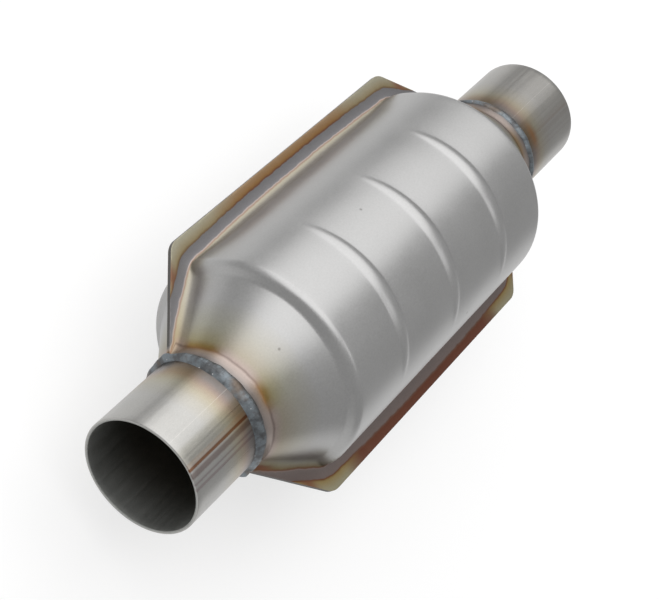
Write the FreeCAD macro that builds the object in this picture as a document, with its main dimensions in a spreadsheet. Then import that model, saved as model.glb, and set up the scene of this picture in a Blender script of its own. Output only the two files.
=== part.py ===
import FreeCAD, Part
import Sketcher
import math
import os
from enum import IntEnum

# Catalytic converter with a pressed clamshell body.
# The gas axis is X and the inlet is at -X. The two half shells meet on the XY plane, with their flanges
# at +Y and -Y. The origin lies on the gas axis, halfway along the overall length. Millimetres.

doc = FreeCAD.newDocument("converter")
sheet = doc.addObject("Spreadsheet::Sheet", "Dims")

SIZES = {
    # Tubes
    "pipe_diameter": 63.5,
    "pipe_wall": 1.6,
    "pipe_insertion": 12,
    "inlet_stub": 50.3,
    "outlet_stub": 55.6,
    "rim_chamfer": 0.5,
    # Half shells, outside sizes
    "shell_sheet": 1.5,
    "shell_radius": 60,
    "barrel_length": 193.6,
    "shoulder_drop": 6,
    "shoulder_run": 3.2,
    "cone_run": 32.5,
    "neck_length": 9,
    "neck_clearance": 0.1,
    "shoulder_bend": 5,
    "shoulder_root": 4,
    "neck_root": 6,
    # Flanges
    "flange_half_width": 74.3,
    "flange_corner_reach": 100.2,
    "flange_tip_reach": 139.8,
    "flange_tip_land": 0.3,
    "flange_corner_round": 9,
    "flange_root": 3,
    # Stiffening beads
    "bead_spacing": 53,
    "bead_width": 9,
    "bead_height": 1.2,
    "bead_axis_rise": 3.2,
    # Weld beads round the tubes
    "weld_on_pipe": 4.5,
    "weld_on_neck": 3,
    "weld_face_radius": 6,
    "weld_penetration": 0.5,
    # Ceramic bricks and their mounting
    "mat_thickness": 5.65,
    "brick_gap": 12,
    "brick_end_clearance": 2.8,
    "seal_length": 5,
}
BEADS = (-1, 0, 1)
ENDS = (-1, 1)

# Angles of turned features, in degrees, and how near two places are to count as one, in millimetres
FULL_TURN = 360
HALF_TURN = 180
BEAD_SWEEP = 130
NEAR = 0.001


class Mark(IntEnum):
    """How a sketch numbers the points of an edge, and its own origin and axes."""
    START = 1
    END = 2
    CENTRE = 3
    LEVEL_AXIS = -1
    UPRIGHT_AXIS = -2


for row, (alias, number) in enumerate(SIZES.items(), 1):
    sheet.set("A%d" % row, alias)
    sheet.set("B%d" % row, str(number))
    sheet.setAlias("B%d" % row, alias)
doc.recompute()


class Size:
    """A size known as its present value and as the formula that binds it to the sheet."""

    def __init__(self, value, formula):
        self.value = float(value)
        self.formula = formula

    def __add__(self, other):
        other = as_size(other)
        return Size(self.value + other.value, "(%s + %s)" % (self.formula, other.formula))

    def __sub__(self, other):
        other = as_size(other)
        return Size(self.value - other.value, "(%s - %s)" % (self.formula, other.formula))

    def __mul__(self, other):
        other = as_size(other)
        return Size(self.value * other.value, "(%s * %s)" % (self.formula, other.formula))

    def __truediv__(self, other):
        other = as_size(other)
        return Size(self.value / other.value, "(%s / %s)" % (self.formula, other.formula))

    def __neg__(self):
        return Size(-self.value, "(-1 * %s)" % self.formula)


def as_size(item):
    """A plain number as a size, and a size as it is."""
    return item if isinstance(item, Size) else Size(item, repr(float(item)))


def dim(alias):
    """The size that the sheet holds under this alias."""
    return Size(sheet.get(alias), "Dims." + alias)


def root(area):
    """Square root of a size."""
    return Size(math.sqrt(area.value), "sqrt(%s)" % area.formula)


def sine(angle):
    """Sine of an angle in degrees."""
    return Size(math.sin(math.radians(angle.value)), "sin(%s)" % angle.formula)


def cosine(angle):
    """Cosine of an angle in degrees."""
    return Size(math.cos(math.radians(angle.value)), "cos(%s)" % angle.formula)


def tangent(angle):
    """Tangent of an angle in degrees."""
    return Size(math.tan(math.radians(angle.value)), "tan(%s)" % angle.formula)


def slope(drop, run):
    """Angle in degrees at which a line falls by drop over run."""
    return Size(math.degrees(math.atan2(drop.value, run.value)), "atan2(%s; %s)" % (drop.formula, run.formula))


# Sizes that follow from the sheet. Along X they count from the middle of the body.
pipe_radius = dim("pipe_diameter") / 2
pipe_bore = pipe_radius - dim("pipe_wall")
sheet_metal = dim("shell_sheet")
neck_bore = pipe_radius + dim("neck_clearance")
neck_radius = neck_bore + sheet_metal
shell_bore = dim("shell_radius") - sheet_metal
barrel_end = dim("barrel_length") / 2
shoulder_end = barrel_end + dim("shoulder_run")
shoulder_foot = dim("shell_radius") - dim("shoulder_drop")
cone_end = shoulder_end + dim("cone_run")
neck_end = cone_end + dim("neck_length")
shoulder_slope = slope(dim("shoulder_drop"), dim("shoulder_run"))
cone_slope = slope(shoulder_foot - neck_radius, dim("cone_run"))
level_slope = Size(0, "0 deg")
flush = Size(0, "0")
brick_radius = shell_bore - dim("mat_thickness")
brick_length = barrel_end - dim("brick_gap") / 2 - dim("brick_end_clearance")
overall_length = neck_end * 2 + dim("inlet_stub") + dim("outlet_stub")
body_middle = (dim("inlet_stub") - dim("outlet_stub")) / 2


def add_body(name):
    """A body whose label names its file."""
    body = doc.addObject("PartDesign::Body", name)
    body.Label = name
    return body


def add_sketch(body, name, plane, raised=None):
    """A sketch on one of the body's own origin planes, raised along its upright axis if asked."""
    sketch = body.newObject("Sketcher::SketchObject", name)
    origin_plane = next(item for item in body.Origin.OriginFeatures if item.Role == plane)
    sketch.AttachmentSupport = [(origin_plane, "")]
    sketch.MapMode = "FlatFace"
    if raised:
        sketch.AttachmentOffset = FreeCAD.Placement(FreeCAD.Vector(0, raised.value, 0), FreeCAD.Rotation())
        sketch.setExpression("AttachmentOffset.Base.y", raised.formula)
    return sketch


def fix(sketch, kind, items, size):
    """A dimension in a sketch, bound to its formula."""
    index = sketch.addConstraint(Sketcher.Constraint(kind, *items, size.value))
    sketch.setExpression("Constraints[%d]" % index, size.formula)


def place_point(sketch, edge, end, across, up):
    """Hold one point of a sketch edge at two sizes from the sketch's origin. None means on that axis."""
    if across is None:
        sketch.addConstraint(Sketcher.Constraint("PointOnObject", edge, end, Mark.UPRIGHT_AXIS))
    else:
        fix(sketch, "DistanceX", (edge, end), across)
    if up is None:
        sketch.addConstraint(Sketcher.Constraint("PointOnObject", edge, end, Mark.LEVEL_AXIS))
    else:
        fix(sketch, "DistanceY", (edge, end), up)


def spot(point):
    """A corner's present place on the sketch plane."""
    across, up = (0.0 if size is None else size.value for size in point)
    return FreeCAD.Vector(across, up, 0)


def add_arc(sketch, start, stop, radius, turn):
    """The short arc between two places, turning left (1) or right (-1) on the way."""
    chord = stop - start
    left = FreeCAD.Vector(-chord.y, chord.x, 0).normalize()
    depth = math.sqrt(radius ** 2 - (chord.Length / 2) ** 2)
    centre = start + chord / 2 + left * depth * turn
    first, last = (start, stop) if turn > 0 else (stop, start)
    angles = [math.atan2(place.y - centre.y, place.x - centre.x) for place in (first, last)]
    circle = Part.Circle(centre, FreeCAD.Vector(0, 0, 1), radius)
    return sketch.addGeometry(Part.ArcOfCircle(circle, *angles))


def draw_outline(sketch, corners, arcs=None):
    """A closed outline through the corners, straight but for the arcs given as {corner: (radius, turn)}."""
    arcs = arcs or {}
    run = []
    for number, (corner, following) in enumerate(zip(corners, corners[1:] + corners[:1])):
        if number in arcs:
            radius, turn = arcs[number]
            edge = add_arc(sketch, spot(corner), spot(following), radius.value, turn)
            ends = (Mark.START, Mark.END) if turn > 0 else (Mark.END, Mark.START)
        else:
            edge = sketch.addGeometry(Part.LineSegment(spot(corner), spot(following)))
            ends = (Mark.START, Mark.END)
        run.append((edge, *ends))
    for (edge, _, leaving), (following, entering, _) in zip(run, run[1:] + run[:1]):
        sketch.addConstraint(Sketcher.Constraint("Coincident", edge, leaving, following, entering))
    for (edge, entering, _), corner in zip(run, corners):
        place_point(sketch, edge, entering, *corner)
    for number, (radius, _) in arcs.items():
        fix(sketch, "Radius", (run[number][0],), radius)


def draw_circle(sketch, radius):
    """A circle about the sketch's origin."""
    edge = sketch.addGeometry(Part.Circle(FreeCAD.Vector(), FreeCAD.Vector(0, 0, 1), radius.value))
    origin = (Mark.LEVEL_AXIS, Mark.START)
    sketch.addConstraint(Sketcher.Constraint("Coincident", edge, Mark.CENTRE, *origin))
    fix(sketch, "Radius", (edge,), radius)


def add_turned(body, kind, name, sketch, angle):
    """A revolution or a groove about the sketch's level axis, to both sides of its plane."""
    feature = body.newObject(kind, name)
    feature.Profile = sketch
    feature.ReferenceAxis = (sketch, ["H_Axis"])
    feature.Midplane = True
    feature.Angle = angle
    doc.recompute()
    return feature


def dress_edges(body, kind, name, prop, size, chosen):
    """A fillet or chamfer on the edges of the body that the test picks."""
    base = body.Tip
    edges = ["Edge%d" % number for number, edge in enumerate(base.Shape.Edges, 1) if chosen(edge)]
    feature = body.newObject(kind, name)
    feature.Base = (base, edges)
    setattr(feature, prop, size.value)
    feature.setExpression(prop, size.formula)
    doc.recompute()
    return feature


def round_edges(body, name, radius, chosen):
    """A fillet on the edges of the body that the test picks."""
    return dress_edges(body, "PartDesign::Fillet", name, "Radius", radius, chosen)


# Half shells

def corners_in(corner, steeper, gentler):
    """The corner of a line offset inwards by the sheet, where its slope changes between two angles."""
    mean = (steeper + gentler) / 2
    reach = sheet_metal / cosine((steeper - gentler) / 2)
    return corner[0] - reach * sine(mean), corner[1] - reach * cosine(mean)


def draw_shell_profile(sketch, corners, radii, end):
    """The outline of a turned form, the same to both ends, closed on the gas axis.

    The corners are those of the barrel, the shoulder and the cone, each with its radius. The barrel's bends
    the line inwards and the other two bend it back out.
    """
    slopes = (level_slope, shoulder_slope, cone_slope, level_slope)
    turns = (1, -1, -1)
    half = []
    for corner, radius, before, after, turn in zip(corners, radii, slopes, slopes[1:], turns):
        length = radius * tangent((after - before) / 2) * turn
        near = (corner[0] - length * cosine(before), corner[1] + length * sine(before))
        far = (corner[0] + length * cosine(after), corner[1] - length * sine(after))
        half.append((near, far, radius, turn))
    path = [(end, None), (end, corners[-1][1])]
    arcs = {}
    for near, far, radius, turn in reversed(half):
        arcs[len(path)] = (radius, turn)
        path += [far, near]
    for near, far, radius, turn in half:
        arcs[len(path)] = (radius, turn)
        path += [(-near[0], near[1]), (-far[0], far[1])]
    path += [(-end, corners[-1][1]), (-end, None)]
    draw_outline(sketch, path, arcs)


def draw_outside(sketch):
    """Outside of a half shell: barrel, steep shoulder, cone and neck."""
    corners = [(barrel_end, dim("shell_radius")), (shoulder_end, shoulder_foot), (cone_end, neck_radius)]
    radii = [dim("shoulder_bend"), dim("shoulder_root"), dim("neck_root")]
    draw_shell_profile(sketch, corners, radii, neck_end)


def draw_inside(sketch):
    """Inside of a half shell, one sheet thickness in from the outside, and open past both necks."""
    corners = [
        corners_in((barrel_end, dim("shell_radius")), shoulder_slope, level_slope),
        corners_in((shoulder_end, shoulder_foot), shoulder_slope, cone_slope),
        corners_in((cone_end, neck_radius), cone_slope, level_slope),
    ]
    radii = [dim("shoulder_bend") - sheet_metal, dim("shoulder_root") + sheet_metal, dim("neck_root") + sheet_metal]
    draw_shell_profile(sketch, corners, radii, neck_end + sheet_metal)


def draw_beads(sketch, inset):
    """Three bead sections, each an arc on a chord, drawn above an axis that lies over the gas axis.

    Turned about that raised axis, each bead stands proud at the crown and sinks into the barrel on its flanks.
    """
    height = dim("bead_height")
    half_width = dim("bead_width") / 2
    full_radius = (half_width * half_width + height * height) / (height * 2)
    radius = full_radius - inset
    rise = radius - height - sheet_metal
    half_chord = root(radius * radius - rise * rise)
    chord_up = dim("shell_radius") + height - dim("bead_axis_rise") - full_radius + rise
    for place in BEADS:
        middle = dim("bead_spacing") * place
        feet = [(middle + half_chord, chord_up), (middle - half_chord, chord_up)]
        draw_outline(sketch, feet, {0: (radius, 1)})


def on_flange_face(level, bore):
    """A test for the edges where the flange's flat face at this level meets the turned wall."""
    def chosen(edge):
        box = edge.BoundBox
        flat_edge = abs(box.ZMin - level.value) < NEAR and abs(box.ZMax - level.value) < NEAR
        clear_of_rim = max(abs(box.YMin), abs(box.YMax)) < bore.value + NEAR
        along = box.XLength > NEAR
        return flat_edge and clear_of_rim and along
    return chosen


def half_shell(name, turn):
    """One pressed half of the body with its flange, turned about the gas axis into place."""
    body = add_body(name)

    form = add_sketch(body, name + "_form", "XZ_Plane")
    draw_outside(form)
    add_turned(body, "PartDesign::Revolution", name + "_turned_form", form, HALF_TURN)

    blank = add_sketch(body, name + "_blank", "XY_Plane")
    reach = neck_end
    width = dim("flange_half_width")
    draw_outline(blank, [(reach, width), (-reach, width), (-reach, -width), (reach, -width)])
    flange = body.newObject("PartDesign::Pad", name + "_flange")
    flange.Profile = blank
    flange.Length = sheet_metal.value
    flange.setExpression("Length", sheet_metal.formula)
    doc.recompute()
    round_edges(body, name + "_flange_root", dim("flange_root"), on_flange_face(sheet_metal, dim("shell_radius")))

    ridges = add_sketch(body, name + "_ridges", "XZ_Plane", dim("bead_axis_rise"))
    draw_beads(ridges, flush)
    add_turned(body, "PartDesign::Revolution", name + "_beads", ridges, BEAD_SWEEP)

    hollow = add_sketch(body, name + "_hollow", "XZ_Plane")
    draw_inside(hollow)
    add_turned(body, "PartDesign::Groove", name + "_cavity", hollow, FULL_TURN)

    channels = add_sketch(body, name + "_channels", "XZ_Plane", dim("bead_axis_rise"))
    draw_beads(channels, sheet_metal)
    add_turned(body, "PartDesign::Groove", name + "_bead_channels", channels, BEAD_SWEEP)
    mouth = on_flange_face(flush, shell_bore)
    round_edges(body, name + "_mouth_bend", dim("flange_root") + sheet_metal, mouth)

    trim = add_sketch(body, name + "_trim", "XY_Plane")
    tip = neck_radius + dim("flange_tip_land")
    for end in ENDS:
        for hand in ENDS:
            draw_outline(trim, [
                (dim("flange_corner_reach") * end, width * hand),
                (dim("flange_tip_reach") * end, tip * hand),
                (reach * end, tip * hand),
                (reach * end, width * hand),
            ])
    corner_cut = body.newObject("PartDesign::Pocket", name + "_corner_cut")
    corner_cut.Profile = trim
    corner_cut.Type = "ThroughAll"
    corner_cut.SideType = "Symmetric"
    doc.recompute()

    def at_flange_corner(edge):
        box = edge.BoundBox
        upright = box.XLength < NEAR and box.YLength < NEAR
        at_reach = abs(abs(box.XMin) - dim("flange_corner_reach").value) < NEAR
        return upright and at_reach and abs(abs(box.YMin) - width.value) < NEAR

    round_edges(body, name + "_corner_round", dim("flange_corner_round"), at_flange_corner)
    settle(body, turn, FreeCAD.Vector(1, 0, 0), body_middle)
    return body


def settle(body, turn, axis, along):
    """Turn a finished body into place and slide it along the gas axis."""
    body.Placement = FreeCAD.Placement(FreeCAD.Vector(along.value, 0, 0), FreeCAD.Rotation(axis, turn))
    body.setExpression("Placement.Base.x", along.formula)


def tube(name, stub, turn, along):
    """An end tube, drawn from its free rim inwards to its seat in the necks."""
    body = add_body(name)
    section = add_sketch(body, name + "_section", "YZ_Plane")
    draw_circle(section, pipe_radius)
    draw_circle(section, pipe_bore)
    length = stub + dim("pipe_insertion")
    wall = body.newObject("PartDesign::Pad", name + "_wall")
    wall.Profile = section
    wall.Length = length.value
    wall.setExpression("Length", length.formula)
    doc.recompute()

    def at_rim(edge):
        return abs(edge.BoundBox.XMin) < NEAR and abs(edge.BoundBox.XMax) < NEAR

    dress_edges(body, "PartDesign::Chamfer", name + "_rim", "Size", dim("rim_chamfer"), at_rim)

    melt = add_sketch(body, name + "_melt", "XZ_Plane")
    draw_outline(melt, [
        (stub - dim("weld_on_pipe"), pipe_radius),
        (stub - dim("weld_on_pipe") / 2, pipe_radius - dim("weld_penetration")),
        (stub, pipe_radius),
        (stub - dim("weld_on_pipe") / 2, pipe_radius + dim("weld_penetration")),
    ])
    add_turned(body, "PartDesign::Groove", name + "_weld_seat", melt, FULL_TURN)
    settle(body, turn, FreeCAD.Vector(0, 0, 1), along)
    return body


def weld_bead(name, turn, shells):
    """A fillet weld between a neck and its tube, let into the tube, and cut back at the flange tips."""
    ring = doc.addObject("PartDesign::Body", name + "_ring")
    section = add_sketch(ring, name + "_section", "XZ_Plane")
    path = [
        (neck_end - dim("weld_on_neck"), neck_radius),
        (neck_end, neck_radius),
        (neck_end, pipe_radius),
        (neck_end + dim("weld_on_pipe") / 2, pipe_radius - dim("weld_penetration")),
        (neck_end + dim("weld_on_pipe"), pipe_radius),
    ]
    draw_outline(section, path, {len(path) - 1: (dim("weld_face_radius"), 1)})
    add_turned(ring, "PartDesign::Revolution", name + "_metal", section, FULL_TURN)
    settle(ring, turn, FreeCAD.Vector(0, 0, 1), body_middle)
    for number, shell in enumerate(shells):
        bead = doc.addObject("Part::Cut", "%s_cut_%d" % (name, number))
        bead.Base = ring
        bead.Tool = shell
        ring = bead
    bead.Label = name
    return bead


def sleeve(name, inner, outer, length, start):
    """A round piece about the gas axis, from start along +X. A brick has no inner radius."""
    body = add_body(name)
    section = add_sketch(body, name + "_section", "YZ_Plane")
    draw_circle(section, outer)
    if inner:
        draw_circle(section, inner)
    metal = body.newObject("PartDesign::Pad", name + "_run")
    metal.Profile = section
    metal.Length = length.value
    metal.setExpression("Length", length.formula)
    doc.recompute()
    settle(body, 0, FreeCAD.Vector(1, 0, 0), body_middle + start)
    return body


def catalyst(name, start):
    """A ceramic brick in its fibre mat, with a wire mesh seal flush with each end of the brick."""
    seal = dim("seal_length")
    return [
        sleeve(name + "_brick", None, brick_radius, brick_length, start),
        sleeve(name + "_mat", brick_radius, shell_bore, brick_length - seal * 2, start + seal),
        sleeve(name + "_inlet_side_seal", brick_radius, shell_bore, seal, start),
        sleeve(name + "_outlet_side_seal", brick_radius, shell_bore, seal, start + brick_length - seal),
    ]


upper = half_shell("upper_shell", 0)
lower = half_shell("lower_shell", HALF_TURN)
pieces = [upper, lower]
pieces.append(tube("inlet_pipe", dim("inlet_stub"), 0, -overall_length / 2))
pieces.append(tube("outlet_pipe", dim("outlet_stub"), HALF_TURN, overall_length / 2))
pieces.append(weld_bead("inlet_weld_bead", HALF_TURN, (upper, lower)))
pieces.append(weld_bead("outlet_weld_bead", 0, (upper, lower)))
pieces += catalyst("front", -dim("brick_gap") / 2 - brick_length)
pieces += catalyst("rear", dim("brick_gap") / 2)
doc.recompute()

for item in doc.Objects:
    if {"Invalid", "Error"} & set(item.State):
        raise RuntimeError("%s failed: %s" % (item.Name, item.State))
for piece in pieces:
    if piece.Shape.isNull() or not piece.Shape.isValid():
        raise RuntimeError("%s has no valid shape" % piece.Label)

os.makedirs("parts", exist_ok=True)
for piece in pieces:
    piece.Shape.exportStep("parts/%s.step" % piece.Label)
    box = piece.Shape.BoundBox
    print("%-24s solids %d volume %10.1f  x %8.2f %8.2f  y %7.2f %7.2f  z %7.2f %7.2f" % (
        piece.Label, len(piece.Shape.Solids), piece.Shape.Volume,
        box.XMin, box.XMax, box.YMin, box.YMax, box.ZMin, box.ZMax))
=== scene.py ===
"""Looks of a welded clamshell catalytic converter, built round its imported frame.

Everything is in metres and in the frame's own axes: +X along the gas flow, +Y across the flanges and +Z
through the crown of the upper half shell. Sizes are written in millimetres and multiplied by MM.
"""

import logging
import math
from contextlib import contextmanager
from dataclasses import dataclass, field
from enum import Enum
from typing import Callable, ClassVar, Iterator, Sequence

import bmesh
import bpy
import numpy as np
from mathutils import Matrix, Vector, noise


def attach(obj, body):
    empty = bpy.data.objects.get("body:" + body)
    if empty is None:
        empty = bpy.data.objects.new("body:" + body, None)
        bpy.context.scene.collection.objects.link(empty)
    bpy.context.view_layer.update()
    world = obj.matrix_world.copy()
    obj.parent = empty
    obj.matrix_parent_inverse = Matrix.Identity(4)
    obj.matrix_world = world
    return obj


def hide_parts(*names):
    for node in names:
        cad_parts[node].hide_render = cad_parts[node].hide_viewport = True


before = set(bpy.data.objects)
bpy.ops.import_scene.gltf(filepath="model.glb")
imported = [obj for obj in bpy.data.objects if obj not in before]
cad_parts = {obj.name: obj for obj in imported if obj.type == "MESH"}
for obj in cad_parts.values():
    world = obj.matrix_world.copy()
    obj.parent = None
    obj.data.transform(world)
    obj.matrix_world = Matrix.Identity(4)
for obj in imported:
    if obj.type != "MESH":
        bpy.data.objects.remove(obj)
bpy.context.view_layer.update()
LOG = logging.getLogger("converter")
MM = 0.001
BODY_MIDDLE = -2.65 * MM
SAME_PLACE = 1e-6
TRACK_MIDDLE = 2.7  # mm out from where the flange begins to the middle of the seam welder's track

Piece = bpy.types.Object
Socket = bpy.types.NodeSocket
Colour = tuple[float, float, float]
Place = tuple[float, float, float]
Band = tuple[float, float, float]  # middle, half width and softness
Row = tuple[tuple[float, float], ...]  # pairs, each a place and what goes with it
ColourRow = tuple[tuple[float, Colour], ...]  # a colour at each of several places
Made = tuple[Piece, str, str]  # a piece, its material slot and the node that it replaces


class Element(Enum):
    """What an edit-mode choice picks."""

    POINTS = "VERT"
    EDGES = "EDGE"
    FACES = "FACE"


class End(Enum):
    """The two ends of the converter, as the sign of their X."""

    INLET = -1
    OUTLET = 1


# Bench work: the moves that every piece is made with

def clear_bench() -> None:
    """Go to object mode with nothing selected."""
    if bpy.context.object and bpy.context.object.mode != "OBJECT":
        bpy.ops.object.mode_set(mode="OBJECT")
    bpy.ops.object.select_all(action="DESELECT")


def take_up(piece: Piece) -> None:
    """Make a piece the only one selected, and the active one.

    Args:
        piece: The piece.
    """
    clear_bench()
    piece.select_set(True)
    bpy.context.view_layer.objects.active = piece


@contextmanager
def editing(piece: Piece) -> Iterator[None]:
    """Edit mode on one piece, with all of it selected on entry.

    Args:
        piece: The piece.
    """
    take_up(piece)
    bpy.ops.object.mode_set(mode="EDIT")
    bpy.ops.mesh.select_mode(type="VERT")
    bpy.ops.mesh.select_all(action="SELECT")
    yield
    bpy.ops.object.mode_set(mode="OBJECT")


def named(name: str) -> Piece:
    """Name the primitive that was just added, and set its place into its mesh.

    Args:
        name: The piece's name.

    Returns:
        The piece.
    """
    bpy.ops.object.transform_apply(location=True, rotation=True, scale=True)
    piece = bpy.context.object
    piece.name = name
    piece.data.name = name
    return piece


def pick(piece: Piece, kind: Element, rule: Callable[..., bool]) -> None:
    """Select, in edit mode, the elements that a rule accepts.

    Args:
        piece: The piece in edit mode.
        kind: Points, edges or faces.
        rule: Says yes or no to one element.
    """
    bpy.ops.mesh.select_mode(type=kind.value)
    bpy.ops.mesh.select_all(action="DESELECT")
    form = bmesh.from_edit_mesh(piece.data)
    family = {Element.POINTS: form.verts, Element.EDGES: form.edges, Element.FACES: form.faces}[kind]
    for item in family:
        if rule(item):
            item.select_set(True)
    form.select_flush_mode()
    bmesh.update_edit_mesh(piece.data)


def press(piece: Piece, die: Callable[[Vector], Vector]) -> None:
    """Move every point of a piece to the place that a die gives it.

    Args:
        piece: The piece, in object mode.
        die: Gives a point's new place from its present one.
    """
    for point in piece.data.vertices:
        point.co = die(point.co.copy())
    piece.data.update()


def cut_through(place: Sequence[float], way: Sequence[float], **sides: bool) -> None:
    """Cut what is selected through along a plane.

    Args:
        place: A place on the plane.
        way: The plane's outward direction.
        sides: Which side to clear, if any.
    """
    bpy.ops.mesh.bisect(plane_co=place, plane_no=way, threshold=SAME_PLACE, **sides)


def modify(piece: Piece, kind: str, **settings: object) -> None:
    """Add a modifier to a piece and apply it.

    Args:
        piece: The piece, in object mode.
        kind: The modifier's type.
        settings: Its properties.
    """
    take_up(piece)
    bpy.ops.object.modifier_add(type=kind)
    modifier = piece.modifiers[-1]
    for name, value in settings.items():
        setattr(modifier, name, value)
    bpy.ops.object.modifier_apply(modifier=modifier.name)


def round_edges(piece: Piece, width: float, segments: int) -> None:
    """Round a piece's sharp edges, to a width in millimetres."""
    sharp = math.radians(50)
    modify(piece, "BEVEL", width=width * MM, segments=segments, limit_method="ANGLE", angle_limit=sharp)


def smooth(piece: Piece, degrees: float = 35) -> None:
    """Shade a piece smooth, but for edges sharper than an angle."""
    take_up(piece)
    bpy.ops.object.shade_smooth_by_angle(angle=math.radians(degrees))


def face_outwards(piece: Piece) -> None:
    """Merge a piece's doubled points and turn all its faces outwards.

    Args:
        piece: The piece.
    """
    with editing(piece):
        bpy.ops.mesh.remove_doubles(threshold=SAME_PLACE)
        bpy.ops.mesh.normals_make_consistent(inside=False)


def mark(piece: Piece, name: str, values: Sequence[float]) -> None:
    """Write a number at each point of a piece, for its finish to read."""
    piece.data.attributes.new(name, "FLOAT", "POINT").data.foreach_set("value", values)


def polar(place: Vector) -> tuple[float, float]:
    """A place's radius, and its angle round the gas axis from +Y."""
    return math.hypot(place.y, place.z), math.atan2(place.z, place.y)


def draw_wire(name: str, path: Sequence[Vector], closed: bool = False) -> Piece:
    """A chain of edges, drawn by pulling one point from place to place.

    Args:
        name: The piece's name.
        path: The places, in order.
        closed: Whether the last place is joined to the first.

    Returns:
        The wire, with its origin at the frame's origin.
    """
    clear_bench()
    bpy.ops.mesh.primitive_plane_add(size=MM)
    piece = named(name)
    with editing(piece):
        bpy.ops.mesh.merge(type="CENTER")
        bpy.ops.transform.translate(value=path[0])
        for before, after in zip(path, path[1:]):
            bpy.ops.mesh.extrude_vertices_move(TRANSFORM_OT_translate={"value": after - before})
        if closed:
            pick(piece, Element.POINTS, lambda point: len(point.link_edges) == 1)
            bpy.ops.mesh.edge_face_add()
    return piece


def turn_up(piece: Piece, steps: int, degrees: float = 360) -> None:
    """Spin a wire about the gas axis, from +Y over the crown.

    Args:
        piece: The wire.
        steps: How many facets the turn has.
        degrees: How far it turns.
    """
    with editing(piece):
        bpy.ops.mesh.spin(
            steps=steps, angle=-math.radians(degrees), center=(0, 0, 0), axis=(1, 0, 0), use_auto_merge=True
        )
    face_outwards(piece)


def slide(piece: Piece, along: float) -> None:
    """Move a piece's mesh along the gas axis."""
    with editing(piece):
        bpy.ops.transform.translate(value=(along, 0, 0))


def turned_copy(piece: Piece, name: str, axis: str) -> Piece:
    """A copy with its own mesh, turned half round about an axis through the origin.

    Args:
        piece: The piece to copy.
        name: The copy's name.
        axis: The axis's letter.

    Returns:
        The copy.
    """
    take_up(piece)
    bpy.ops.object.duplicate(linked=False)
    twin = named(name)
    with editing(twin):
        bpy.ops.transform.rotate(value=math.pi, orient_axis=axis, center_override=(0, 0, 0))
    return twin


def rounded_path(corners: Sequence[tuple[float, float, float]], arc_step: float = 7) -> list[Vector]:
    """A path on the XY plane with its corners rounded.

    Args:
        corners: X, Y and bend radius of each corner, in millimetres. The two ends have none.
        arc_step: Degrees between the points of a bend.

    Returns:
        The path's places, in millimetres.
    """
    path = [Vector(corners[0][:2])]
    for before, corner, after in zip(corners, corners[1:], corners[2:]):
        here = Vector(corner[:2])
        entering = (here - Vector(before[:2])).normalized()
        leaving = (Vector(after[:2]) - here).normalized()
        turn = entering.angle_signed(leaving)
        reach = corner[2] * math.tan(abs(turn) / 2)
        start = here - entering * reach
        side = Vector((-entering.y, entering.x)) * (-1 if turn > 0 else 1)
        centre = start + side * corner[2]
        steps = max(2, math.ceil(math.degrees(abs(turn)) / arc_step))
        for step in range(steps + 1):
            path.append(centre + Matrix.Rotation(-turn * step / steps, 2) @ (start - centre))
    return path + [Vector(corners[-1][:2])]


# Wiring: what the materials are drawn with

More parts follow.
